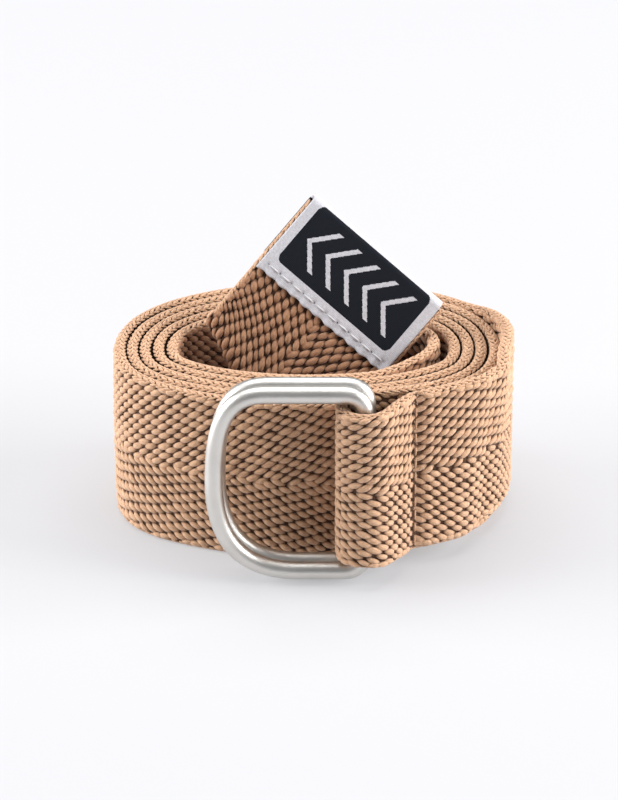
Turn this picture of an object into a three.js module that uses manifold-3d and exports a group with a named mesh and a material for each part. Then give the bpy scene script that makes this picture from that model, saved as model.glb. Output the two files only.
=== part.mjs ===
// A webbing belt, rolled on edge into an oval coil, in millimetres, +Z up.
// One strap makes the coil, a sewn loop that holds two D-rings at its outer end, and a folded tail
// with a woven label at its inner end. Plan directions: +X right, +Y back.

import * as THREE from 'three';
import { mergeVertices } from 'three/addons/utils/BufferGeometryUtils.js';
import Module from 'manifold-3d';

const strapWidth = 38;
const strapThickness = 2.6;
const edgeChamfer = 0.8;
const edgeFlat = 0.2; // as a share of the thickness
const layerPitch = 2.9;
const turns = 5;

// The coil's oval, as the distance of its tangent line from the centre in each direction:
// a mean size, then cosine and sine shares that repeat 1, 2, 3 and 4 times round.
const ovalMean = 39.26;
const ovalShares = [
  { repeats: 1, cosine: -0.35, sine: -20.8 },
  { repeats: 2, cosine: 6.66, sine: 0.27 },
  { repeats: 3, cosine: -0.18, sine: -0.48 },
  { repeats: 4, cosine: -0.82, sine: -0.04 },
];
const seamAngle = -70;
const coilStartAngle = -67;
const coilEndAngle = seamAngle + 360 * turns - 3;
const angleStep = 7.5;

// Past the seam the outer turn stands off the coil over the folded end and its upper edge flares
// out, then it comes down to the rest of the coil. Each change runs between two angles.
const standOff = { size: 3.8, from: -62, to: -48 };
const flareIn = { size: 1.7, from: -62, to: -50 };
const flareOut = { size: 1.7, from: -45, to: -14 };
const lift = { size: 4.1, from: -10, to: 52 };

// The folded end and the loop in plan, round the ring bars to the seam; lean is the shift towards
// the back per millimetre of height
const loopRows = [
  { x: 26.2, y: -46.5, lean: 0.0 },
  { x: 23.8, y: -47.8, lean: 0.0 },
  { x: 21.2, y: -48.8, lean: 0.0 },
  { x: 17.0, y: -49.4, lean: 0.0 },
  { x: 12.6, y: -49.8, lean: 0.0 },
  { x: 9.0, y: -50.3, lean: 0.0 },
  { x: 6.9, y: -51.8, lean: 0.01 },
  { x: 6.3, y: -55.4, lean: 0.02 },
  { x: 6.9, y: -59.6, lean: 0.035 },
  { x: 10.4, y: -61.8, lean: 0.042 },
  { x: 14.8, y: -60.8, lean: 0.042 },
  { x: 18.0, y: -56.3, lean: 0.03 },
  { x: 21.2, y: -52.2, lean: 0.01 },
];
const loopStepsPerRow = 3;
const loopWidth = 36.4;
const loopRise = 0.5;
const seamPlan = { x: 21.2, y: -50.4 };
const seamDirection = 72;
const seamWidth = 1.6;
const seamDepth = 3.2;
const seamMargin = 1.5;

// The inner run: the front layer climbs to a tight bend on the right, comes back behind the tail,
// and folds over on the left. Each row gives the strap's middle, and which way its upper edge leans.
const innerRows = [
  { x: 19.6, y: -31.6, z: 19.5, leanX: -0.01, leanY: 0.0 },
  { x: 24.0, y: -28.3, z: 20.2, leanX: -0.03, leanY: 0.0 },
  { x: 26.8, y: -24.0, z: 20.1, leanX: -0.04, leanY: 0.02 },
  { x: 26.9, y: -20.3, z: 19.6, leanX: -0.03, leanY: 0.11 },
  { x: 25.4, y: -17.2, z: 19.1, leanX: -0.03, leanY: 0.25 },
  { x: 20.8, y: -15.3, z: 18.8, leanX: -0.04, leanY: 0.31 },
  { x: 14.6, y: -15.5, z: 19.0, leanX: -0.04, leanY: 0.38 },
  { x: 8.0, y: -17.2, z: 20.0, leanX: -0.07, leanY: 0.44 },
  { x: 1.0, y: -19.9, z: 21.9, leanX: -0.2, leanY: 0.49 },
  { x: -6.4, y: -21.6, z: 23.3, leanX: -0.42, leanY: 0.52 },
];
const innerStepsPerRow = 4;

// The tail's outer face lies in one plane that leans back. Its fold crosses the strap at a slant:
// the place of the fold on the strap's middle, then the strap's and the fold's own directions.
const tailFold = new THREE.Vector3(-14.6, -26.3, 25.4);
const tailDirection = new THREE.Vector3(0.65, 0.357, 0.671).normalize();
const tailOutward = new THREE.Vector3(0, -0.883, 0.469).normalize();
const foldDirection = new THREE.Vector3(-0.433, 0.423, 0.796).normalize();
const tailLength = 45.2;
const foldPitch = 3.0;
const foldSteps = 6;
const tailSteps = 5;

const labelLength = 20.5;
const labelWidth = 36.6;
const labelThickness = 0.5;
const labelGap = 0.2;
const strapThicknessInLabel = 2.2;
const thinningLength = 1.2;
const thinningClearance = 0.3;

const ringWire = 3.9;
const ringHeight = 45.7;
const ringWidth = 36;
const ringCorner = 4.7;
const ringClearance = 0.75;
const ringLean = 2.4;
// The bowed outer side: how far each arm runs straight from the bar, how far its line is pulled on
// past that, and how high above or below the middle the side is still pulled outwards
const ringBows = [
  { armLength: 21, armPull: 30, sidePull: 13 },
  { armLength: 14, armPull: 29, sidePull: 10 },
];
const ringBars = [
  { name: 'ring_rear', x: 11.6, y: -54.15 },
  { name: 'ring_front', x: 11.1, y: -58.25 },
];
const ringSteps = 72;
const wireSides = 12;

const strapMaterial = new THREE.MeshStandardMaterial({ color: 0xc49a72, roughness: 0.9, metalness: 0 });
const ringMaterial = new THREE.MeshStandardMaterial({ color: 0xd9d7d2, roughness: 0.35, metalness: 1 });
const labelMaterial = new THREE.MeshStandardMaterial({ color: 0x1b1d24, roughness: 0.6, metalness: 0 });

const radians = THREE.MathUtils.degToRad;
const smooth = (value, low, high) => THREE.MathUtils.smoothstep(value, low, high);
const rise = (angle, { size, from, to }) => size * smooth(angle, from, to);
const fall = (angle, { size, from, to }) => size * (1 - smooth(angle, from, to));

// A point of the oval, moved inwards by the depth, at the place that faces the given direction
function ovalPoint(angle, depth) {
  const facing = radians(angle);
  let reach = ovalMean - depth;
  let slide = 0;
  for (const { repeats, cosine, sine } of ovalShares) {
    reach += cosine * Math.cos(repeats * facing) + sine * Math.sin(repeats * facing);
    slide += repeats * (sine * Math.cos(repeats * facing) - cosine * Math.sin(repeats * facing));
  }
  return new THREE.Vector2(
    reach * Math.cos(facing) - slide * Math.sin(facing),
    reach * Math.sin(facing) + slide * Math.cos(facing),
  );
}

function coilDepth(angle) {
  return (layerPitch * (angle - seamAngle)) / 360 + strapThickness / 2;
}

function station(x, y, z, across) {
  return {
    middle: new THREE.Vector3(x, y, z),
    across: across.clone().normalize(),
    width: strapWidth,
    thickness: strapThickness,
  };
}

// Points of a smooth curve through the rows, with the other columns carried along in step
function smoothRows(rows, stepsPerRow, makeStation) {
  const columns = Object.keys(rows[0]);
  const curves = [];
  for (let first = 0; first < columns.length; first += 3) {
    const names = columns.slice(first, first + 3);
    const points = rows.map((row) => new THREE.Vector3(...names.map((name) => row[name] ?? 0)));
    curves.push({ names, curve: new THREE.CatmullRomCurve3(points, false, 'catmullrom') });
  }
  const count = (rows.length - 1) * stepsPerRow;
  const stations = [];
  for (let step = 0; step <= count; step++) {
    const values = {};
    for (const { names, curve } of curves) {
      const point = curve.getPoint(step / count).toArray();
      names.forEach((name, index) => {
        values[name] = point[index];
      });
    }
    stations.push(makeStation(values));
  }
  return stations;
}

// Round the bars the strap is drawn a little narrower and higher, between the rings' corners
function loop() {
  return smoothRows(loopRows, loopStepsPerRow, ({ x, y, lean }) => {
    const drawn = 1 - smooth(x, ringBars[0].x, seamPlan.x);
    const z = strapWidth / 2 + lift.size + loopRise * drawn;
    return {
      ...station(x, y, z, new THREE.Vector3(0, lean, 1)),
      width: THREE.MathUtils.lerp(strapWidth, loopWidth, drawn),
    };
  });
}

function coil() {
  const stations = [];
  for (let angle = coilStartAngle; angle <= coilEndAngle; angle += angleStep) {
    const flare = (rise(angle, flareIn) * fall(angle, flareOut)) / flareIn.size;
    const lean = (2 * flare) / strapWidth;
    const place = ovalPoint(angle, coilDepth(angle) - fall(angle, standOff) - flare);
    const across = new THREE.Vector3(Math.cos(radians(angle)) * lean, Math.sin(radians(angle)) * lean, 1);
    stations.push(station(place.x, place.y, strapWidth / 2 + fall(angle, lift), across));
  }
  return stations;
}

function innerRun() {
  return smoothRows(innerRows, innerStepsPerRow, ({ x, y, z, leanX, leanY }) =>
    station(x, y, z, new THREE.Vector3(leanX, leanY, 1)),
  );
}

const tailAcross = new THREE.Vector3().crossVectors(tailOutward, tailDirection).normalize();
const foldSlant = tailDirection.angleTo(foldDirection);
const foldSquare = new THREE.Vector3().crossVectors(foldDirection, tailOutward).normalize();
const bendMiddle = tailFold
  .clone()
  .addScaledVector(foldSquare, (foldPitch + strapThickness) / 2)
  .addScaledVector(tailOutward, -(foldPitch + strapThickness) / 2);

// The strap's middle in the fold, half a turn about the fold's own direction, and slipping along it
function foldMiddle(turn) {
  const radius = foldPitch / 2;
  return bendMiddle
    .clone()
    .addScaledVector(tailOutward, Math.cos(turn) * radius)
    .addScaledVector(foldSquare, -Math.sin(turn) * radius)
    .addScaledVector(foldDirection, ((Math.PI / 2 - turn) * radius) / Math.tan(foldSlant));
}

// From the run behind, round the fold, to the flat tail and its thinner tip inside the label
function tail() {
  const stations = [];
  for (let step = 0; step <= foldSteps; step++) {
    const { x, y, z } = foldMiddle(Math.PI * (1 - step / foldSteps));
    stations.push(station(x, y, z, foldDirection));
  }
  const start = foldMiddle(0);
  const thinStart = tailLength - labelLength - thinningLength - thinningClearance;
  const places = [];
  for (let step = 1; step <= tailSteps; step++) {
    places.push({ along: (thinStart * step) / tailSteps, thickness: strapThickness });
  }
  places.push({ along: thinStart + thinningLength, thickness: strapThicknessInLabel });
  places.push({ along: tailLength - labelThickness - labelGap, thickness: strapThicknessInLabel });
  for (const { along, thickness } of places) {
    const place = start.clone().addScaledVector(tailDirection, along - (foldPitch + strapThickness) / 2);
    const across = foldDirection.clone().lerp(tailAcross, smooth(along, 0, thinStart));
    stations.push({ ...station(place.x, place.y, place.z, across), thickness });
  }
  return stations;
}

// A closed skin over rings of points, each ring turning the same way
function skin(rings, endless) {
  const positions = rings.flat().flatMap((point) => point.toArray());
  const size = rings[0].length;
  const faces = [];
  const last = endless ? rings.length : rings.length - 1;
  for (let ring = 0; ring < last; ring++) {
    const here = ring * size;
    const there = ((ring + 1) % rings.length) * size;
    for (let corner = 0; corner < size; corner++) {
      const next = (corner + 1) % size;
      faces.push(here + corner, here + next, there + corner);
      faces.push(there + corner, here + next, there + next);
    }
  }
  if (!endless) {
    const end = (rings.length - 1) * size;
    for (let corner = 1; corner < size - 1; corner++) {
      faces.push(0, corner + 1, corner);
      faces.push(end, end + corner, end + corner + 1);
    }
  }
  const geometry = new THREE.BufferGeometry();
  geometry.setAttribute('position', new THREE.Float32BufferAttribute(positions, 3));
  geometry.setIndex(faces);
  return geometry;
}

function strapSection(width, thickness) {
  const half = width / 2;
  const edge = half - edgeChamfer;
  const flat = thickness * edgeFlat;
  const face = thickness / 2;
  return [
    [half, flat],
    [edge, face],
    [-edge, face],
    [-half, flat],
    [-half, -flat],
    [-edge, -face],
    [edge, -face],
    [half, -flat],
  ];
}

// Where a section crosses the strap at a slant it is longer, so that the edges stay parallel
function ribbon(stations) {
  const rings = stations.map(({ middle, across, width, thickness }, index) => {
    const before = stations[Math.max(index - 1, 0)].middle;
    const after = stations[Math.min(index + 1, stations.length - 1)].middle;
    const along = after.clone().sub(before).normalize();
    const outward = new THREE.Vector3().crossVectors(along, across);
    const slantLength = 1 / outward.length();
    outward.normalize();
    return strapSection(width, thickness).map(([up, out]) =>
      middle
        .clone()
        .addScaledVector(across, up * slantLength)
        .addScaledVector(outward, out),
    );
  });
  return skin(rings, false);
}

const wasm = await Module();
wasm.setup();

function toSolid(geometry) {
  const bare = geometry.clone();
  bare.deleteAttribute('normal');
  bare.deleteAttribute('uv');
  const merged = mergeVertices(bare, 1e-4);
  return new wasm.Manifold(
    new wasm.Mesh({
      numProp: 3,
      vertProperties: new Float32Array(merged.attributes.position.array),
      triVerts: new Uint32Array(merged.index.array),
    }),
  );
}

function toGeometry(solid) {
  const mesh = solid.getMesh();
  const geometry = new THREE.BufferGeometry();
  geometry.setAttribute('position', new THREE.BufferAttribute(mesh.vertProperties, 3));
  geometry.setIndex(new THREE.BufferAttribute(mesh.triVerts, 1));
  geometry.computeVertexNormals();
  return geometry;
}

// The line of stitches that closes the loop, as a thin web between the two layers
function seamWeb() {
  const web = new THREE.BoxGeometry(seamWidth, seamDepth, strapWidth - 2 * seamMargin);
  web.rotateZ(radians(seamDirection - 90));
  web.translate(seamPlan.x, seamPlan.y, strapWidth / 2 + lift.size);
  return web;
}

function strap() {
  const stations = [...loop(), ...coil(), ...innerRun(), ...tail()];
  const solid = toSolid(ribbon(stations)).add(toSolid(seamWeb()));
  const mesh = new THREE.Mesh(toGeometry(solid), strapMaterial);
  mesh.name = 'strap';
  return mesh;
}

// A ring's centre line: the straight bar on the right, two arms, and a bowed outer side
function ringOutline() {
  const top = (ringHeight - ringWire) / 2;
  const reach = ringWidth - ringWire;
  const [upper, lower] = ringBows;
  const outline = new THREE.Path();
  outline.moveTo(0, -top + ringCorner);
  outline.lineTo(0, top - ringCorner);
  outline.quadraticCurveTo(0, top, -ringCorner, top);
  outline.lineTo(-upper.armLength, top);
  outline.bezierCurveTo(-upper.armPull, top, -reach, upper.sidePull, -reach, 0);
  outline.bezierCurveTo(-reach, -lower.sidePull, -lower.armPull, -top, -lower.armLength, -top);
  outline.lineTo(-ringCorner, -top);
  outline.quadraticCurveTo(0, -top, 0, -top + ringCorner);
  return outline.getSpacedPoints(ringSteps).slice(0, ringSteps);
}

function ring({ name, x, y }) {
  const outline = ringOutline();
  const rings = outline.map((point, index) => {
    const before = outline[(index + outline.length - 1) % outline.length];
    const after = outline[(index + 1) % outline.length];
    const side = new THREE.Vector2(after.y - before.y, before.x - after.x).normalize();
    const section = [];
    for (let corner = 0; corner < wireSides; corner++) {
      const turn = (2 * Math.PI * corner) / wireSides;
      const out = (Math.cos(turn) * ringWire) / 2;
      const depth = (Math.sin(turn) * ringWire) / 2;
      section.push(new THREE.Vector3(point.x + side.x * out, depth, point.y + side.y * out));
    }
    return section;
  });
  const mesh = new THREE.Mesh(skin(rings, true), ringMaterial);
  mesh.name = name;
  mesh.rotation.x = -radians(ringLean);
  mesh.position.set(x, y, ringHeight / 2 + ringClearance);
  return mesh;
}

// The label wraps the tip: a U-shaped section, drawn along the strap and out from it
function tipLabel() {
  const inner = strapThicknessInLabel / 2 + labelGap;
  const outer = inner + labelThickness;
  const outline = new THREE.Shape();
  outline.moveTo(-labelLength, inner);
  outline.lineTo(-labelLength, outer);
  outline.lineTo(-outer * 0.5, outer);
  outline.lineTo(0, outer * 0.5);
  outline.lineTo(0, -outer * 0.5);
  outline.lineTo(-outer * 0.5, -outer);
  outline.lineTo(-labelLength, -outer);
  outline.lineTo(-labelLength, -inner);
  outline.lineTo(-labelThickness, -inner);
  outline.lineTo(-labelThickness, inner);
  const geometry = new THREE.ExtrudeGeometry(outline, { depth: labelWidth, bevelEnabled: false, steps: 1 });
  geometry.translate(0, 0, -labelWidth / 2);
  const mesh = new THREE.Mesh(geometry, labelMaterial);
  mesh.name = 'tip_label';
  const tip = foldMiddle(0).addScaledVector(tailDirection, tailLength - (foldPitch + strapThickness) / 2);
  const across = new THREE.Vector3().crossVectors(tailDirection, tailOutward).normalize();
  mesh.quaternion.setFromRotationMatrix(new THREE.Matrix4().makeBasis(tailDirection, tailOutward, across));
  mesh.position.copy(tip);
  return mesh;
}

const belt = new THREE.Group();
belt.name = 'belt';
belt.add(strap(), ...ringBars.map(ring), tipLabel());

// The belt stands on its lower edge, with the middle of its box over the origin
const box = new THREE.Box3().setFromObject(belt, true);
const centre = box.getCenter(new THREE.Vector3());
belt.position.set(-centre.x, -centre.y, -box.min.z);

const group = new THREE.Group();
group.add(belt);
export default group;
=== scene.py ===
# A rolled webbing belt with two D-rings and a woven label, dressed in yarn, metal and satin thread.
# Metres, +Z up. Plan places of the strap are in millimetres, as a belt maker would measure them.
import math
import bpy
import numpy as np
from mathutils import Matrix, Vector


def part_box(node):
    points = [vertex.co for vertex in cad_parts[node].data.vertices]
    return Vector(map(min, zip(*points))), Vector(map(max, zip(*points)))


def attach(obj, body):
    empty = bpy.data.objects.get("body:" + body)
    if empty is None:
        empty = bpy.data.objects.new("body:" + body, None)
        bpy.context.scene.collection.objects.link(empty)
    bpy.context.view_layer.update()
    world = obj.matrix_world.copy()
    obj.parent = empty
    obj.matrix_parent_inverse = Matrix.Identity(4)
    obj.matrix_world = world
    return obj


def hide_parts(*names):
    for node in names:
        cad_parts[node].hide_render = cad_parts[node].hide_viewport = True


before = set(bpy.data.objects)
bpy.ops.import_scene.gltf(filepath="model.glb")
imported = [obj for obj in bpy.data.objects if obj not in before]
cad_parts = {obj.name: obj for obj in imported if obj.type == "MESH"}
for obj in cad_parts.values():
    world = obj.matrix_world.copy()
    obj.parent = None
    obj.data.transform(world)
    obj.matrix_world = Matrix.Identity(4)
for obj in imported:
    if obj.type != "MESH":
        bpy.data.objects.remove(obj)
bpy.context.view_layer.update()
print("frame loaded")

mm = 0.001
rng = np.random.default_rng(38)
scene = bpy.context.scene


def smoothStep(value, low, high):
    share = np.clip((np.asarray(value, float) - low) / (high - low), 0, 1)
    return share * share * (3 - 2 * share)


def unit(vectors):
    vectors = np.asarray(vectors, float)
    return vectors / np.linalg.norm(vectors, axis=-1, keepdims=True)


# The camera stands a metre from the belt and looks 28 degrees down, through a long lens
view = {"place": (-0.9, -850.9, 479.5), "pitch": 28, "lens": 198, "sensor": 36}


def makeCamera():
    data = bpy.data.cameras.new("camera")
    data.lens = view["lens"]
    data.sensor_width = view["sensor"]
    data.clip_end = 20
    camera = bpy.data.objects.new("camera", data)
    camera.location = [value * mm for value in view["place"]]
    camera.rotation_euler = (math.radians(90 - view["pitch"]), 0, 0)
    scene.collection.objects.link(camera)
    scene.camera = camera


# Shader sockets as values: an expression on them adds its Math nodes
class Wire:
    def __init__(self, nodes, socket):
        self.nodes = nodes
        self.socket = socket

    def math(self, operation, *others):
        return self.nodes.add("Math", {"operation": operation}, [self, *others])

    def __add__(self, other):
        return self.math("ADD", other)

    def __radd__(self, other):
        return self.math("ADD", other)

    def __sub__(self, other):
        return self.math("SUBTRACT", other)

    def __rsub__(self, other):
        return self.nodes.add("Math", {"operation": "SUBTRACT"}, [other, self])

    def __mul__(self, other):
        return self.math("MULTIPLY", other)

    def __rmul__(self, other):
        return self.math("MULTIPLY", other)

    def __truediv__(self, other):
        return self.math("DIVIDE", other)

    # Another output of the same node
    def output(self, name):
        return Wire(self.nodes, self.socket.node.outputs[name])

    def ease(self, low, high):
        settings = {"interpolation_type": "SMOOTHSTEP"}
        return self.nodes.add("MapRange", settings, {"Value": self, "From Min": low, "From Max": high})


class Nodes:
    def __init__(self, name):
        self.material = bpy.data.materials.new(name)
        self.material.use_nodes = True
        self.tree = self.material.node_tree
        self.tree.nodes.clear()

    # One method for every node: its type, its settings, then the values or links of its sockets
    def add(self, kind, settings=None, inputs=(), output=0):
        node = self.tree.nodes.new("ShaderNode" + kind)
        for name, value in (settings or {}).items():
            setattr(node, name, value)
        pairs = inputs.items() if isinstance(inputs, dict) else enumerate(inputs)
        for key, value in pairs:
            socket = node.inputs[key]
            if isinstance(value, Wire):
                self.tree.links.new(value.socket, socket)
            elif socket.type == "RGBA" and len(value) == 3:
                socket.default_value = (*value, 1)
            else:
                socket.default_value = value
        return Wire(self, node.outputs[output]) if node.outputs else node

    def value(self, attribute):
        return self.add("Attribute", {"attribute_name": attribute}, output="Fac")

    def place(self, attribute):
        return self.add("Attribute", {"attribute_name": attribute}, output="Vector")

    def noise(self, vector, scale, detail=2.0, output="Fac"):
        inputs = {"Vector": vector, "Scale": scale, "Detail": detail}
        return self.add("TexNoise", {"noise_dimensions": "3D"}, inputs, output=output)

    def stretch(self, vector, factors):
        return self.add("VectorMath", {"operation": "MULTIPLY"}, [vector, factors])

    def blend(self, share, first, second, kind="MIX"):
        settings = {"data_type": "RGBA", "blend_type": kind}
        return self.add("Mix", settings, {0: share, 6: first, 7: second}, output=2)

    def bump(self, height, distance, strength=1.0):
        inputs = {"Height": height, "Distance": distance, "Strength": strength}
        return self.add("Bump", {}, inputs)

    def finish(self, inputs):
        surface = self.add("BsdfPrincipled", {}, inputs)
        self.add("OutputMaterial", {}, {"Surface": surface})
        return self.material


# A mesh piece from numpy arrays of corners and faces, with named values at its corners
def makePiece(name, corners, faces, material, body="belt", values=None):
    mesh = bpy.data.meshes.new(name)
    mesh.from_pydata((np.asarray(corners) * mm).tolist(), [], [list(face) for face in faces])
    for key, data in (values or {}).items():
        data = np.asarray(data, np.float32)
        kind, field = ("FLOAT", "value") if data.ndim == 1 else ("FLOAT_VECTOR", "vector")
        mesh.attributes.new(key, kind, "POINT").data.foreach_set(field, data.ravel())
    mesh.materials.append(material)
    mesh.update()
    mesh.shade_smooth()
    piece = bpy.data.objects.new(name, mesh)
    scene.collection.objects.link(piece)
    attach(piece, body)
    return piece


# Rings of corners as one closed skin, every ring turning the same way
def skinFaces(rings, size, endless=False):
    faces = []
    for ring in range(rings if endless else rings - 1):
        here = ring * size
        there = (ring + 1) % rings * size
        for corner in range(size):
            after = (corner + 1) % size
            faces.append((here + corner, here + after, there + after, there + corner))
    if not endless:
        last = (rings - 1) * size
        faces.append(tuple(range(size - 1, -1, -1)))
        faces.append(tuple(range(last, last + size)))
    return faces


# The strap's whole route, told as a maker would measure it, with +x right and +y back
strap = {
    "width": 38,
    "thickness": 2.6,
    "pitch": 2.9,
    "turns": 5,
    "ovalMean": 39.26,
    "ovalShares": [(1, -0.35, -20.8), (2, 6.66, 0.27), (3, -0.18, -0.48), (4, -0.82, -0.04)],
    "seamAngle": -70,
    "coilStart": -67,
    "standOff": (3.8, -62, -48),
    "flareIn": (1.7, -62, -50),
    "flareOut": (1.7, -45, -14),
    "lift": (4.1, -10, 52),
    "loopWidth": 36.4,
    "loopRise": 0.5,
    "seam": (21.2, -50.4),
    "ringBarX": 11.6,
}
# x, y, lean of the loop's rows, from the folded end behind the bars round to the seam
loopRows = [
    (26.2, -46.5, 0.0), (23.8, -47.8, 0.0), (21.2, -48.8, 0.0), (17.0, -49.4, 0.0), (12.6, -49.8, 0.0),
    (9.0, -50.3, 0.0), (6.9, -51.8, 0.01), (6.3, -55.4, 0.02), (6.9, -59.6, 0.035), (10.4, -61.8, 0.042),
    (14.8, -60.8, 0.042), (18.0, -56.3, 0.03), (21.2, -52.2, 0.01),
]
# x, y, z and the lean in x and y of the inner run, from the front layer round the bend to the fold
innerRows = [
    (19.6, -31.6, 19.5, -0.01, 0.0), (24.0, -28.3, 20.2, -0.03, 0.0), (26.8, -24.0, 20.1, -0.04, 0.02),
    (26.9, -20.3, 19.6, -0.03, 0.11), (25.4, -17.2, 19.1, -0.03, 0.25), (20.8, -15.3, 18.8, -0.04, 0.31),
    (14.6, -15.5, 19.0, -0.04, 0.38), (8.0, -17.2, 20.0, -0.07, 0.44), (1.0, -19.9, 21.9, -0.2, 0.49),
    (-6.4, -21.6, 23.3, -0.42, 0.52),
]
tail = {
    "fold": (-14.6, -26.3, 25.4),
    "along": unit((0.65, 0.357, 0.671)),
    "outward": unit((0, -0.883, 0.469)),
    "foldLine": unit((-0.433, 0.423, 0.796)),
    "length": 45.2,
    "pitch": 3.0,
}
labelSize = {"length": 20.5, "width": 36.6, "thickness": 0.5, "gap": 0.2, "strap": 2.2, "thinning": 1.5}
rings = {
    "wire": 3.9, "height": 45.7, "width": 36, "corner": 4.7, "clearance": 0.75, "lean": 2.4,
    "bows": [(21, 30, 13), (14, 29, 10)],
    "bars": {"ring_rear": (11.6, -54.15), "ring_front": (11.1, -58.25)},
    "steps": 150, "sides": 22,
}


# Where the plan's own zero lies in the frame, read off the front ring's box
def planShift():
    low, high = (np.array(corner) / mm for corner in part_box("ring_front"))
    barX, barY = rings["bars"]["ring_front"]
    middle = (low + high) / 2
    height = rings["height"] / 2 + rings["clearance"]
    return np.array((high[0] - barX - rings["wire"] / 2, middle[1] - barY, middle[2] - height))


def ovalPoint(angle, depth):
    facing = np.radians(angle)
    reach = strap["ovalMean"] - depth
    slide = np.zeros_like(facing)
    for repeats, cosine, sine in strap["ovalShares"]:
        reach = reach + cosine * np.cos(repeats * facing) + sine * np.sin(repeats * facing)
        slide = slide + repeats * (sine * np.cos(repeats * facing) - cosine * np.sin(repeats * facing))
    return np.stack(
        [reach * np.cos(facing) - slide * np.sin(facing), reach * np.sin(facing) + slide * np.cos(facing)], -1
    )


# A smooth curve through rows of numbers
def smoothRows(rows, stepsPerRow):
    rows = np.array(rows, float)
    rows = np.vstack([2 * rows[0] - rows[1], rows, 2 * rows[-1] - rows[-2]])
    points = []
    for index in range(1, len(rows) - 2):
        before, start, end, after = rows[index - 1 : index + 3]
        for step in range(stepsPerRow):
            share = step / stepsPerRow
            pull, push = (end - before) / 2, (after - start) / 2
            points.append(
                start
                + pull * share
                + (3 * (end - start) - 2 * pull - push) * share**2
                + (2 * (start - end) + pull + push) * share**3
            )
    points.append(rows[-2])
    return np.array(points)


# The strap's middle line and the direction across it, from the folded end to the tip
def strapStations():
    width = strap["width"]
    lift = strap["lift"][0]
    loop = smoothRows(loopRows, 12)
    drawn = 1 - smoothStep(loop[:, 0], strap["ringBarX"], strap["seam"][0])
    middles = [np.column_stack([loop[:, :2], width / 2 + lift + strap["loopRise"] * drawn])]
    across = [np.column_stack([np.zeros(len(loop)), loop[:, 2], np.ones(len(loop))])]
    wide = [width - (width - strap["loopWidth"]) * drawn]

    angle = np.arange(strap["coilStart"], strap["seamAngle"] + 360 * strap["turns"] - 3, 1.5)
    fall = lambda size, low, high: size * (1 - smoothStep(angle, low, high))
    flare = smoothStep(angle, *strap["flareIn"][1:]) * fall(*strap["flareOut"])
    depth = strap["pitch"] * (angle - strap["seamAngle"]) / 360 + strap["thickness"] / 2
    plan = ovalPoint(angle, depth - fall(*strap["standOff"]) - flare)
    middles.append(np.column_stack([plan, width / 2 + fall(*strap["lift"])]))
    lean = 2 * flare / width
    facing = np.radians(angle)
    across.append(np.column_stack([np.cos(facing) * lean, np.sin(facing) * lean, np.ones(len(angle))]))
    wide.append(np.full(len(angle), width))

    inner = smoothRows(innerRows, 16)
    middles.append(inner[:, :3])
    across.append(np.column_stack([inner[:, 3:], np.ones(len(inner))]))
    wide.append(np.full(len(inner), width))

    radius = tail["pitch"] / 2
    outer = radius + strap["thickness"] / 2
    square = unit(np.cross(tail["foldLine"], tail["outward"]))
    slant = math.acos(float(tail["along"] @ tail["foldLine"]))
    bend = np.array(tail["fold"]) + (square - tail["outward"]) * outer
    turn = np.linspace(math.pi, 0, 25)[:, None]
    slip = (math.pi / 2 - turn) * radius / math.tan(slant)
    fold = bend + tail["outward"] * np.cos(turn) * radius - square * np.sin(turn) * radius
    fold = fold + tail["foldLine"] * slip
    middles.append(fold)
    across.append(np.tile(tail["foldLine"], (len(fold), 1)))
    wide.append(np.full(len(fold), width))

    last = tail["length"] - labelSize["thickness"] - labelSize["gap"]
    along = np.linspace(0.4, last - outer, 80)
    middles.append(fold[-1] + along[:, None] * tail["along"])
    straight = unit(np.cross(tail["outward"], tail["along"]))
    thinStart = tail["length"] - labelSize["length"] - labelSize["thinning"]
    share = smoothStep(along + outer, 0, thinStart)[:, None]
    across.append(tail["foldLine"] * (1 - share) + straight * share)
    wide.append(np.full(len(along), width))
    return np.vstack(middles), unit(np.vstack(across)), np.concatenate(wide)


# The drawn-in seam, the roundness of the edges, how far and where an edge strays as it lies, and
# where the strap thins under the label
form = {
    "groove": 1.45,
    "grooveWidth": 1.9,
    "round": 0.9,
    "stray": 0.16,
    "strayStep": 13,
    "strayAfterSeam": (6, 30),
    "strayBeforeTip": (42, 60),
    "loopEnd": 30,
    "thinFrom": -0.5,
    "thinTo": 0.7,
}


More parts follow.
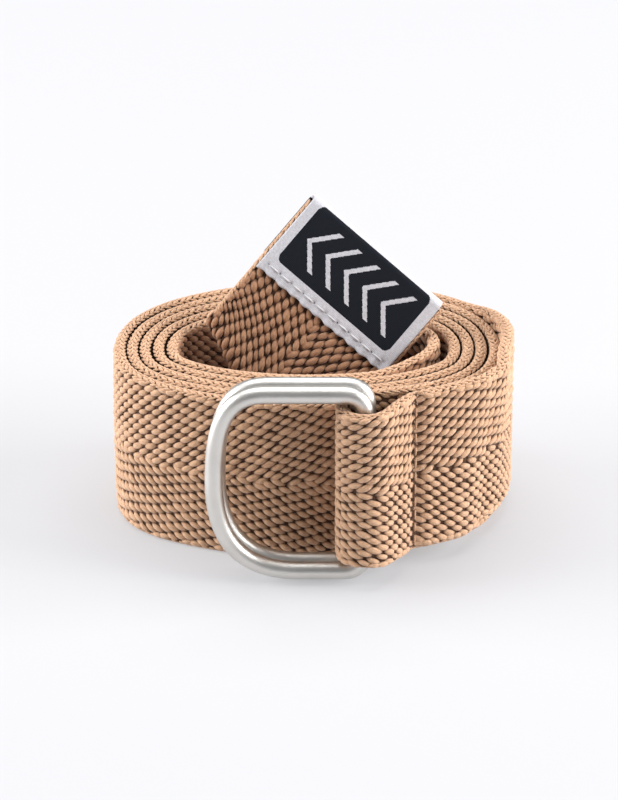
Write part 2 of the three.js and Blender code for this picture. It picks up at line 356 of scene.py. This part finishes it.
# The strap as tables over the length along it, so that any place on either face can be looked up
class StrapSurface:
    step = 0.4

    def __init__(self):
        middles, across, wide = strapStations()
        for _ in range(2):
            self.length = self.measure(middles)
            even = np.arange(0, self.length[-1], self.step)
            middles, across, wide = (self.table(even, self.length, data) for data in (middles, across, wide))
            middles, across = self.soften(middles), unit(self.soften(across))
        middles = middles + planShift()
        self.length = self.measure(middles)
        along = unit(np.gradient(middles, axis=0))
        outward = np.cross(along, across)
        stretch = 1 / np.linalg.norm(outward, axis=1, keepdims=True)
        self.middle = middles
        self.across = across * stretch
        self.outward = outward * stretch
        self.wide = wide
        self.total = self.length[-1]
        labelStart = self.total - labelSize["length"] + labelSize["thickness"] + labelSize["gap"]
        thin = smoothStep(self.length, labelStart + form["thinFrom"], labelStart + form["thinTo"])
        self.half = (strap["thickness"] + (labelSize["strap"] - strap["thickness"]) * thin) / 2
        self.labelStart = labelStart
        seam = np.array(strap["seam"]) + planShift()[:2]
        near = np.where(self.length < form["loopEnd"], np.inf, np.linalg.norm(middles[:, :2] - seam, axis=1))
        self.seamAt = self.length[np.argmin(near)]
        free = smoothStep(self.length - self.seamAt, *form["strayAfterSeam"])
        free = free * smoothStep(self.total - self.length, *form["strayBeforeTip"])
        self.strayUpper = self.stray() * free
        self.strayLower = self.stray() * free

    # A slow, uneven sway along the strap
    def stray(self):
        knots = np.arange(0, self.total + form["strayStep"], form["strayStep"])
        sway = np.interp(self.length, knots, rng.normal(0, form["stray"], len(knots)))
        reach = round(form["strayStep"] / self.step)
        return np.convolve(sway, np.hanning(reach) / np.hanning(reach).sum(), "same")

    # How far the seam draws the outer face in
    def pinch(self, s):
        return form["groove"] * np.exp(-(((s - self.seamAt) / form["grooveWidth"]) ** 2))

    @staticmethod
    def measure(points):
        return np.concatenate([[0], np.cumsum(np.linalg.norm(np.diff(points, axis=0), axis=1))])

    @staticmethod
    def table(places, known, data):
        if data.ndim == 1:
            return np.interp(places, known, data)
        return np.column_stack([np.interp(places, known, column) for column in data.T])

    def soften(self, data):
        reach = 3
        weights = np.exp(-0.5 * (np.arange(-reach, reach + 1) / 1.5) ** 2)
        weights /= weights.sum()
        padded = np.vstack([data[:1]] * reach + [data] + [data[-1:]] * reach)
        return np.column_stack([np.convolve(column, weights, "valid") for column in padded.T])

    def at(self, places, name):
        return self.table(places, self.length, getattr(self, name))

    # Points a given height out from the middle of the strap: up is across it, s along it
    def point(self, s, up, out):
        shape = np.shape(s)
        flat = np.ravel(s)
        share = np.ravel(up) * self.at(flat, "wide") / strap["width"]
        points = self.at(flat, "middle") + self.at(flat, "across") * share[:, None]
        edge = np.ravel(up) / strap["width"] * 2
        sway = self.at(flat, "strayUpper") * np.maximum(edge, 0) ** 2
        sway = sway + self.at(flat, "strayLower") * np.maximum(-edge, 0) ** 2
        points = points + self.at(flat, "outward") * (np.ravel(out) + sway)[:, None]
        return points.reshape(*shape, 3)

    # Points over the strap's rounded skin: place runs across one face and on round the edges
    def skin(self, s, place, lift, side=1):
        bend = form["round"]
        over = np.abs(place) - strap["width"] / 2 + bend
        turn = np.clip(over / bend, 0, math.pi)
        slide = np.minimum(over, 0) + np.minimum(math.pi * bend - over, 0)
        half = self.at(np.ravel(s), "half").reshape(np.shape(s))
        up = strap["width"] / 2 - bend + slide + (bend + lift) * np.sin(turn)
        out = (half + lift) * np.cos(turn) * side
        out = out - self.pinch(s) * np.clip(out / half, 0, 1)
        return self.point(s, np.sign(place) * up, out)


makeCamera()
surface = StrapSurface()
print("strap route laid out,", round(float(surface.total)), "mm long")


# Yarn grains: the twill's short floats, in ribs that slant to the middle of the strap
weave = {
    "column": 1.82,
    "climb": 0.59,
    "row": 2.37,
    "reach": 18.0,
    "middle": -0.35,
    "overlap": 1.15,
    "length": 3.8,
    "width": 1.46,
    "height": 0.54,
    "arch": 0.5,
    "slant": 25,
    "sink": 0.3,
    "loopSink": 0.72,
    "jitter": 0.06,
    "dip": 0.1,
    "archShade": 0.55,
    "edgeRoom": 1.2,
    "slantSpread": 3,
    "sizeSpread": 0.06,
    "heightSpread": 0.1,
    "form": (-0.8, -0.42, 0.0, 0.42, 0.8),
}
# The selvedge: fine rows by how far round the edge they lie, from where the face begins to turn
selvedge = {
    "rows": (0.55, 1.12, 1.71, 2.28),
    "column": 1.75,
    "length": 2.3,
    "width": 0.7,
    "height": 0.36,
    "sinks": (0.24, 0.2, 0.2, 0.24),
    "loopSink": 0.24,
    "slant": 18,
    "slantSpread": 5,
    "jitter": 0.07,
    "form": (-0.7, 0.0, 0.7),
}
core = {"sink": 0.56, "step": 0.9, "sides": 7}


# A closed length of yarn: sections of six corners between two points, a unit long, wide and high
def grainForm(sections, blunt=2.2):
    turns = np.radians([-35, 15, 63, 117, 165, 215])
    corners = [(-1, 0, -0.2)]
    for u in sections:
        full = (1 - abs(u) ** blunt) ** 0.6
        for turn in turns:
            corners.append((u, math.cos(turn) * full, math.sin(turn) * full))
    corners.append((1, 0, -0.2))
    size = len(turns)
    faces = []
    for corner in range(size):
        after = (corner + 1) % size
        faces.append((0, 1 + corner, 1 + after))
        for ring in range(len(sections) - 1):
            here = 1 + ring * size
            faces.append((here + corner, here + size + corner, here + size + after, here + after))
        last = 1 + (len(sections) - 1) * size
        faces.append((last + corner, len(corners) - 1, last + after))
    return np.array(corners), faces


# Copies of one form with each copy's own corners, and what the yarn's colour needs: a random tone, the rim
# share that paints shade down each grain's lower sides and ends, and fibre places
def grainPiece(name, shape, faces, points, material, flip=False, arch=0.0):
    count, size = points.shape[:2]
    if flip:
        faces = [tuple(reversed(face)) for face in faces]
    copies = [tuple(corner + size * copy for corner in face) for copy in range(count) for face in faces]
    tone = np.repeat(rng.random(count), size)
    # rim: painted shade, low on the grain's lower sides and towards its ends
    rim = np.tile(np.clip(shape[:, 2] * 0.5 + 0.5 - arch * shape[:, 0] ** 2, 0, 1), count)
    thread = np.tile(shape * (1.5, 0.7, 0), (count, 1))
    thread[:, 2] = tone * 40
    values = {"tone": tone, "rim": rim, "thread": thread}
    makePiece(name, points.reshape(-1, 3), copies, material, values=values)


# Where the grains of one face lie between two lengths along the strap. The halves' ribs meet in
# the middle, and where a column stops short of an edge one more grain lies along that edge.
def grainPlaces(start, end):
    places = []
    row, reach = weave["row"], weave["reach"]
    for column in range(math.ceil(start / weave["column"]), math.ceil(end / weave["column"])):
        s = column * weave["column"]
        lowest = (-weave["climb"] * column - weave["middle"]) % row + weave["middle"]
        below = lowest - weave["overlap"]
        highest = below - (below + lowest - 2 * weave["middle"] - row / 2) % row
        upper = np.arange(lowest, reach, row)
        lower = np.arange(highest, -reach, -row)
        places += [(s, up, 1) for up in upper] + [(s, up, -1) for up in lower]
        for edge, last in ((1, upper[-1]), (-1, -lower[-1])):
            if last < reach - weave["edgeRoom"]:
                places.append((s, edge * reach, 0))
    return np.array(places)


def faceGrains(name, start, end, side, material, sink):
    shape, faces = grainForm(weave["form"])
    s, up, half = grainPlaces(start, end).T
    count = len(s)
    slant = np.radians(weave["slant"] * half + rng.normal(0, weave["slantSpread"], count))[:, None]
    size = 1 + rng.normal(0, weave["sizeSpread"], (count, 1))
    x = shape[:, 0] * size * weave["length"] / 2
    y = shape[:, 1] * size * weave["width"] / 2
    shift = rng.normal(0, weave["jitter"], (2, count, 1))
    along = s[:, None] + x * np.cos(slant) - y * np.sin(slant) + shift[0]
    place = up[:, None] + x * np.sin(slant) + y * np.cos(slant) + shift[1]
    lift = shape[:, 2] * weave["height"] * (1 + rng.normal(0, weave["heightSpread"], (count, 1)))
    lift = lift - weave["arch"] * shape[:, 0] ** 2 - shape[:, 0] * weave["dip"] - sink
    points = surface.skin(along, place, lift, side)
    grainPiece(name, shape, faces, points, material, flip=side < 0, arch=weave["archShade"])


# Rows of fine grains round the strap's upper or lower edge
def selvedgeGrains(name, edge, material):
    shape, faces = grainForm(selvedge["form"])
    points = []
    for index, row in enumerate(selvedge["rows"]):
        s = np.arange(selvedge["column"] * (0.5 + index % 2 / 2), surface.total, selvedge["column"])
        s = s + rng.normal(0, selvedge["jitter"], len(s))
        spread = rng.normal(0, selvedge["slantSpread"], len(s))
        tilt = np.radians(selvedge["slant"] * (-1) ** index + spread)[:, None]
        x = shape[:, 0] * selvedge["length"] / 2
        y = shape[:, 1] * selvedge["width"] / 2
        along = np.clip(s[:, None] + x * np.cos(tilt) - y * np.sin(tilt), 0, surface.total)
        place = strap["width"] / 2 - form["round"] + row + x * np.sin(tilt) + y * np.cos(tilt)
        drawn = (strap["width"] - surface.at(s, "wide")) / (strap["width"] - strap["loopWidth"])
        sink = selvedge["sinks"][index] + selvedge["loopSink"] * drawn[:, None]
        lift = shape[:, 2] * selvedge["height"] - sink
        points.append(surface.skin(along, edge * place, lift))
    grainPiece(name, shape, faces, np.vstack(points), material, flip=edge < 0)


# The ground under the grains, seen only in the pinholes between them; its near-black brown is painted shade
# for the depth of the pinholes
def strapCore(material):
    s = np.append(np.arange(0, surface.total, core["step"]), surface.total)
    face = strap["width"] / 2 - form["round"]
    bend = face + np.linspace(0, math.pi * form["round"], core["sides"])
    place = np.concatenate([bend, -bend[::-1]])
    s = np.repeat(s[:, None], len(place), 1)
    points = surface.skin(s, place + 0 * s, np.full_like(s, -core["sink"]))
    faces = skinFaces(len(s), len(place))
    faces = [tuple(reversed(face)) for face in faces]
    piece = makePiece("strap_ground", points.reshape(-1, 3), faces, material)
    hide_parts("strap")


# The row of stitches that closes the loop, sunk in its groove
stitch = {"pitch": 3.1, "length": 2.5, "width": 0.55, "height": 0.3, "reach": 16.6, "sink": 0.85}
stitchForm = (-0.8, -0.4, 0.0, 0.4, 0.8)


def seamStitches(material):
    shape, faces = grainForm(stitchForm)
    up = np.arange(-stitch["reach"], stitch["reach"] + 0.1, stitch["pitch"])[:, None]
    up = up + shape[:, 0] * stitch["length"] / 2
    s = surface.seamAt + shape[:, 1] * stitch["width"] / 2 + 0 * up
    half = strap["thickness"] / 2
    out = half - stitch["sink"] + shape[:, 2] * stitch["height"] + 0 * up
    points = surface.point(s, up, out)
    grainPiece("seam_stitches", shape, faces, points, material, flip=True)


yarn = {
    # deep: the painted shade blended into each grain's lower sides and ends
    "deep": (0.1, 0.037, 0.015),
    "dull": (0.45, 0.243, 0.137),
    "warm": (0.61, 0.362, 0.219),
    "pale": (0.74, 0.485, 0.315),
    # ground: painted shade, near-black browns for the pinholes between the grains
    "ground": ((0.045, 0.02, 0.01), (0.1, 0.047, 0.023)),
    "unshadedTint": (1.0, 0.98, 0.94),
    # The second tint paints shade: it darkens a whole copy of the webbing for the tail's front and the coil's
    # inside faces
    "paintedShadeTint": (0.6, 0.49, 0.41),
}


# Tan polyester yarn: each grain its own tone, with painted shade darker down its lower sides and towards its
# ends, and the fine lie of its fibres; the tint multiplies the whole colour
def webbingMaterial(name, tint):
    nodes = Nodes(name)
    tone = nodes.value("tone")
    rim = nodes.value("rim")
    thread = nodes.place("thread")
    fibre = nodes.noise(nodes.stretch(thread, (1.2, 8, 1)), 1.6, 3)
    cloud = nodes.noise(nodes.add("TexCoord", {}, {}, output="Object"), 60, 2)
    light = nodes.blend(tone * 0.6 + cloud * 0.4, yarn["dull"], yarn["warm"])
    pale = nodes.blend(fibre.ease(0.35, 0.7), light, yarn["pale"])
    # Painted shade: where the rim share is low the grain goes towards the deep brown
    color = nodes.blend(rim.ease(0.14, 0.8), yarn["deep"], pale)
    color = nodes.blend(1.0, color, tint, "MULTIPLY")
    return nodes.finish({
        "Base Color": color,
        "Roughness": 0.6,
        "Specular IOR Level": 0.25,
        "Sheen Weight": 0.25,
        "Sheen Roughness": 0.5,
        "Normal": nodes.bump(fibre, 0.0002, 0.8),
    })


def groundShadeMaterial():
    nodes = Nodes("shaded yarn")
    cloud = nodes.noise(nodes.add("TexCoord", {}, {}, output="Object"), 900, 2)
    # Painted shade: the pinholes are coloured near-black for the shade inside them
    color = nodes.blend(cloud, *yarn["ground"])
    return nodes.finish({"Base Color": color, "Roughness": 0.95, "Normal": nodes.bump(cloud, 0.0002)})


webbing = webbingMaterial("tan webbing", yarn["unshadedTint"])
# A copy of the webbing darkened with painted shade
paintedShadeWebbing = webbingMaterial("tan webbing, painted shade", yarn["paintedShadeTint"])
strapCore(groundShadeMaterial())
seamAt = surface.seamAt
total = surface.total
underLabel = surface.labelStart + 2
# Each woven piece: where it starts and ends along the strap, which face it lies on, and how deep
wovenPieces = [
    ("weave_loop", 1, seamAt + 60, 1, webbing, weave["sink"]),
    ("weave_loop_inside", 1, seamAt - 2, -1, webbing, weave["loopSink"]),
    ("weave_inside_start", seamAt + 3, seamAt + 95, -1, webbing, weave["sink"]),
    ("weave_outer", seamAt + 60, seamAt + 350, 1, webbing, weave["sink"]),
    # The tail's front and the coil's inside faces take the copy darkened with painted shade
    ("weave_tail_front", total - 120, underLabel, 1, paintedShadeWebbing, weave["sink"]),
    ("weave_inside", total - 300, underLabel, -1, paintedShadeWebbing, weave["sink"]),
]
for name, start, end, side, material, sink in wovenPieces:
    faceGrains(name, start, end, side, material, sink)
selvedgeGrains("selvedge_top", 1, webbing)
selvedgeGrains("selvedge_bottom", -1, webbing)
seamStitches(webbing)
print("webbing woven")


# The rings: a straight bar, two arms and a bowed side, as one closed wire
def ringOutline():
    top = (rings["height"] - rings["wire"]) / 2
    reach = rings["width"] - rings["wire"]
    corner = rings["corner"]
    upper, lower = rings["bows"]
    parts = [
        [(0, -top + corner), (0, top - corner)],
        [(0, top - corner), (0, top), (-corner, top)],
        [(-corner, top), (-upper[0], top)],
        [(-upper[0], top), (-upper[1], top), (-reach, upper[2]), (-reach, 0)],
        [(-reach, 0), (-reach, -lower[2]), (-lower[1], -top), (-lower[0], -top)],
        [(-lower[0], -top), (-corner, -top)],
        [(-corner, -top), (0, -top), (0, -top + corner)],
    ]
    share = np.linspace(0, 1, 60, endpoint=False)[:, None]
    line = []
    for points in parts:
        degree = len(points) - 1
        weights = [math.comb(degree, k) * share**k * (1 - share) ** (degree - k) for k in range(degree + 1)]
        line.append(sum(weight * np.array(point, float) for weight, point in zip(weights, points)))
    line = np.vstack(line + [line[0][:1]])
    length = StrapSurface.measure(line)
    even = np.linspace(0, length[-1], rings["steps"], endpoint=False)
    return StrapSurface.table(even, length, line)


def makeRing(name, body, material):
    line = ringOutline()
    ahead = unit(np.roll(line, -1, 0) - np.roll(line, 1, 0))
    side = np.column_stack([ahead[:, 1], -ahead[:, 0]])
    turns = np.linspace(0, 2 * math.pi, rings["sides"], endpoint=False)
    radius = rings["wire"] / 2
    out = np.cos(turns) * radius
    x = line[:, :1] + side[:, :1] * out
    z = line[:, 1:] + side[:, 1:] * out
    y = np.tile(np.sin(turns) * radius, (len(line), 1))
    lean = math.radians(rings["lean"])
    barX, barY = rings["bars"][name]
    points = np.stack([
        x + barX,
        y * math.cos(lean) + z * math.sin(lean) + barY,
        z * math.cos(lean) - y * math.sin(lean) + rings["height"] / 2 + rings["clearance"],
    ], -1)
    faces = skinFaces(len(line), rings["sides"], endless=True)
    corners = points.reshape(-1, 3) + planShift()
    piece = makePiece(name + "_wire", corners, faces, material, body)
    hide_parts(name)


# Satin nickel: pale, a little yellow, with fine pits and a brushed unevenness
def nickelMaterial():
    nodes = Nodes("satin nickel")
    place = nodes.add("TexCoord", {}, {}, output="Object")
    fine = nodes.noise(place, 2600, 3)
    broad = nodes.noise(place, 180, 2)
    color = nodes.blend(broad, (0.6, 0.582, 0.55), (0.74, 0.722, 0.69))
    return nodes.finish({
        "Base Color": color,
        "Metallic": 1.0,
        "Roughness": 0.3 + 0.14 * fine + 0.06 * broad,
        "Normal": nodes.bump(fine, 0.00005, 0.6),
    })


nickel = nickelMaterial()
makeRing("ring_rear", "belt", nickel)
makeRing("ring_front", "front_ring", nickel)
print("rings made")


# The woven label: a silver satin ribbon folded round the tip, with a dark panel on each flap
label = {
    "panelStart": 3.7,
    "tipBorder": 1.0,
    "sideBorder": 2.4,
    "corner": 1.6,
    "thread": 0.16,
    "chevron": 5.3,
    "steep": 0.85,
    "arm": 5.4,
    "line": 1.0,
    "skew": 0.95,
    "holeRow": 1.9,
    "holePitch": 3.3,
    "hole": 0.3,
    "pucker": 0.3,
    "wave": 0.32,
    "waveReach": 1.2,
    "ridge": (1.0, 1.3),
    "ridgeShare": 0.35,
    "holeDepth": 0.22,
    "holes": 11,
    "mesh": (106, 94),
    "stitchGap": 0.25,
    "stitchRadius": 0.2,
    "stitchRise": 0.08,
}


def labelFrame():
    outer = (tail["pitch"] + strap["thickness"]) / 2
    square = unit(np.cross(tail["foldLine"], tail["outward"]))
    slant = math.acos(float(tail["along"] @ tail["foldLine"]))
    radius = tail["pitch"] / 2
    bend = np.array(tail["fold"]) + (square - tail["outward"]) * outer
    start = bend + tail["outward"] * radius + tail["foldLine"] * math.pi / 2 * radius / math.tan(slant)
    tip = start + tail["along"] * (tail["length"] - outer) + planShift()
    return tip, unit(np.cross(tail["outward"], tail["along"]))


# The label's sheet: along runs from the front flap's edge, round the tip, to the back flap's edge
def labelPoint(along, across, out):
    tip, sideways = labelFrame()
    radius = labelSize["strap"] / 2 + labelSize["gap"] + labelSize["thickness"] / 2
    flat = labelSize["length"] - radius - labelSize["thickness"] / 2
    bend = math.pi * radius
    turn = np.clip((along - flat) / radius, 0, math.pi)
    forward = np.where(along < flat, along - flat, np.where(along > flat + bend, flat + bend - along, 0))
    reach = radius + out
    x = forward - radius - labelSize["thickness"] / 2 + np.sin(turn) * reach
    y = np.cos(turn) * reach
    shifted = across + label["skew"] * smoothStep(turn, 0, math.pi)
    return tip + x[..., None] * tail["along"] + y[..., None] * tail["outward"] + shifted[..., None] * sideways


def labelTotal():
    radius = labelSize["strap"] / 2 + labelSize["gap"] + labelSize["thickness"] / 2
    return 2 * (labelSize["length"] - radius - labelSize["thickness"] / 2) + math.pi * radius


def makeLabel(material):
    total = labelTotal()
    width = labelSize["width"]
    rows, columns = label["mesh"]
    along = np.linspace(0, total, rows)
    across = np.linspace(-width / 2, width / 2, columns)
    a, c = np.meshgrid(along, across, indexing="ij")
    holes = (np.arange(label["holes"]) - (label["holes"] - 1) / 2) * label["holePitch"]
    fromEdge = np.minimum(a, total - a)
    nearHole = np.min(np.abs(c[..., None] - holes), -1)
    hole = np.exp(-((nearHole / label["hole"]) ** 2) - ((fromEdge - label["holeRow"]) / label["hole"]) ** 2)
    ridge, ridgeWidth = label["ridge"]
    band = np.exp(-((fromEdge - ridge) / ridgeWidth) ** 2)
    swell = np.cos(math.pi * nearHole / label["holePitch"]) ** 2
    lift = band * label["pucker"] * (label["ridgeShare"] - swell) - label["holeDepth"] * hole
    sway = swell - 0.5 + 0.25 * np.sin(c * 0.9 + 1)
    wave = label["wave"] * np.exp(-((fromEdge / label["waveReach"]) ** 2)) * sway
    shifted = a + np.where(a < total / 2, wave, -wave)
    corners, layers = [], []
    for out in (labelSize["thickness"] / 2, -labelSize["thickness"] / 2):
        corners.append(labelPoint(shifted, c, out + lift).reshape(-1, 3))
        layers.append(np.stack([a, c, np.full_like(a, out)], -1).reshape(-1, 3))
    count = rows * columns
    faces = []
    for row in range(rows - 1):
        for column in range(columns - 1):
            here = row * columns + column
            faces.append((here, here + 1, here + columns + 1, here + columns))
            faces.append(tuple(count + k for k in (here, here + columns, here + columns + 1, here + 1)))
    rim = list(range(columns)) + [row * columns + columns - 1 for row in range(1, rows)]
    rim += [(rows - 1) * columns + column for column in range(columns - 2, -1, -1)]
    rim += [row * columns for row in range(rows - 2, 0, -1)]
    for index, here in enumerate(rim):
        after = rim[(index + 1) % len(rim)]
        faces.append((after, here, count + here, count + after))
    values = {"place": np.vstack(layers), "hole": np.tile(hole.ravel(), 2)}
    piece = makePiece("label_ribbon", np.vstack(corners), faces, material, values=values)
    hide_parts("tip_label")
    total * mm
    return holes


# The thread that holds the label: a short run from each hole to the next, on both flaps
def labelStitches(holes, material):
    shape, faces = grainForm(stitchForm)
    radius = label["stitchRadius"]
    reach = label["holePitch"] / 2 - label["stitchGap"]
    across = (holes[:-1] + holes[1:])[:, None] / 2 + shape[:, 0] * reach
    along = label["holeRow"] + shape[:, 1] * radius + 0 * across
    out = labelSize["thickness"] / 2 + label["stitchRise"] + shape[:, 2] * radius + 0 * across
    points = np.vstack([labelPoint(along, across, out), labelPoint(labelTotal() - along, across, out)])
    grainPiece("label_stitches", shape, faces, points, material)


# The label's colours: rounded dark panels with a row of silver chevrons on the front, and painted shade in
# the needle holes
def labelMaterial():
    nodes = Nodes("woven label")
    place = nodes.place("place")
    snapped = nodes.add("VectorMath", {"operation": "SNAP"}, [place, (label["thread"], label["thread"], 1)])
    along = nodes.add("SeparateXYZ", {}, [snapped])
    across = along.output("Y")
    total = labelTotal()
    flap = labelSize["length"]
    fold = total - along
    fromEdge = along.math("MINIMUM", fold)
    middle = (label["panelStart"] + flap - label["tipBorder"]) / 2
    halfLong = (flap - label["tipBorder"] - label["panelStart"]) / 2
    front = along.math("LESS_THAN", total / 2)
    halfWide = labelSize["width"] / 2 + 1 - (label["sideBorder"] + 1) * front

    def panel(inset, corner):
        x = ((fromEdge - middle).math("ABSOLUTE") - (halfLong - inset - corner)).math("MAXIMUM", 0)
        y = (across.math("ABSOLUTE") - (halfWide - inset - corner)).math("MAXIMUM", 0)
        return ((x * x + y * y).math("SQRT") - corner).math("LESS_THAN", 0)

    fromMiddle = (fromEdge - middle).math("ABSOLUTE")
    slide = across + (fromMiddle - label["arm"] / 2) * label["steep"]
    nearest = (slide / label["chevron"]).math("ROUND").math("MINIMUM", 2).math("MAXIMUM", -2)
    line = (slide - nearest * label["chevron"]).math("ABSOLUTE").math("LESS_THAN", label["line"] * 0.66)
    silver = line * fromMiddle.math("LESS_THAN", label["arm"]) * front
    dark = panel(0, label["corner"]) * (1 - silver)

    fine = nodes.noise(nodes.stretch(place, (9, 1.4, 1)), 1.3, 2)
    bands = {"Vector": place, "Scale": 1.05, "Distortion": 0.4}
    weft = nodes.add("TexWave", {"bands_direction": "X"}, bands, output="Fac")
    satin = nodes.blend(fine.ease(0.3, 0.7), (0.47, 0.465, 0.5), (0.64, 0.635, 0.67))
    black = nodes.blend(weft, (0.004, 0.005, 0.008), (0.011, 0.014, 0.021))
    color = nodes.blend(dark, satin, black)
    # Painted shade: the needle holes are coloured near-black for the shade inside them
    color = nodes.blend(nodes.value("hole").ease(0.35, 0.8), color, (0.02, 0.018, 0.018))
    relief = weft * 0.5 + fine * 0.4 - dark * 0.8
    return nodes.finish({
        "Base Color": color,
        "Roughness": 0.5 + 0.1 * fine,
        "Specular IOR Level": 0.12,
        "Normal": nodes.bump(relief, 0.0001, 0.8),
    })


def paleThread():
    nodes = Nodes("pale thread")
    fibre = nodes.noise(nodes.stretch(nodes.place("thread"), (3, 9, 1)), 1.6, 2)
    color = nodes.blend(fibre, (0.5, 0.48, 0.5), (0.68, 0.67, 0.69))
    return nodes.finish({"Base Color": color, "Roughness": 0.6, "Normal": nodes.bump(fibre, 0.0001)})


stitchHoles = makeLabel(labelMaterial())
labelStitches(stitchHoles, paleThread())
print("label sewn on")


# Plain pale floor and soft light from above and both sides
studio = {
    "floor": 3.0,
    "floorColor": (0.3, 0.3, 0.309),
    "floorGlow": (0.37, 0.37, 0.38),
    "world": 0.24,
    "lights": [
        ("overhead", (0, 0.35, 1.3), (1.5, 1.2), 19),
        ("left", (-1.2, 0.05, 0.42), (0.9, 0.8), 25),
        ("right", (1.15, -0.1, 0.45), (0.9, 0.8), 27),
    ],
}


def makeStudio():
    nodes = Nodes("pale floor")
    cloud = nodes.noise(nodes.add("TexCoord", {}, {}, output="Object"), 3, 2)
    pale = studio["floorColor"]
    color = nodes.blend(cloud, [value * 0.985 for value in pale], pale)
    material = nodes.finish({
        "Base Color": color,
        "Roughness": 0.9,
        "Specular IOR Level": 0.1,
        "Emission Color": (*studio["floorGlow"], 1),
        "Emission Strength": 1.0,
    })
    half = studio["floor"] / mm
    corners = [(-half, -half, 0), (half, -half, 0), (half, half, 0), (-half, half, 0)]
    mesh = bpy.data.meshes.new("floor")
    mesh.from_pydata([[value * mm for value in corner] for corner in corners], [], [(0, 1, 2, 3)])
    mesh.materials.append(material)
    floor = bpy.data.objects.new("floor", mesh)
    scene.collection.objects.link(floor)
    for name, place, (wide, deep), power in studio["lights"]:
        data = bpy.data.lights.new(name, "AREA")
        data.shape = "RECTANGLE"
        data.size, data.size_y = wide, deep
        data.energy = power
        light = bpy.data.objects.new(name, data)
        light.location = place
        towards = np.array((0, 0, 0.02)) - np.array(place)
        light.rotation_mode = "QUATERNION"
        light.rotation_quaternion = Vector(towards).to_track_quat("-Z", "Y")
        scene.collection.objects.link(light)
    world = bpy.data.worlds.new("studio")
    world.use_nodes = True
    world.node_tree.nodes["Background"].inputs["Color"].default_value = (0.97, 0.97, 1, 1)
    world.node_tree.nodes["Background"].inputs["Strength"].default_value = studio["world"]
    scene.world = world
    scene.view_settings.view_transform = "Standard"


makeStudio()
print("studio lit")
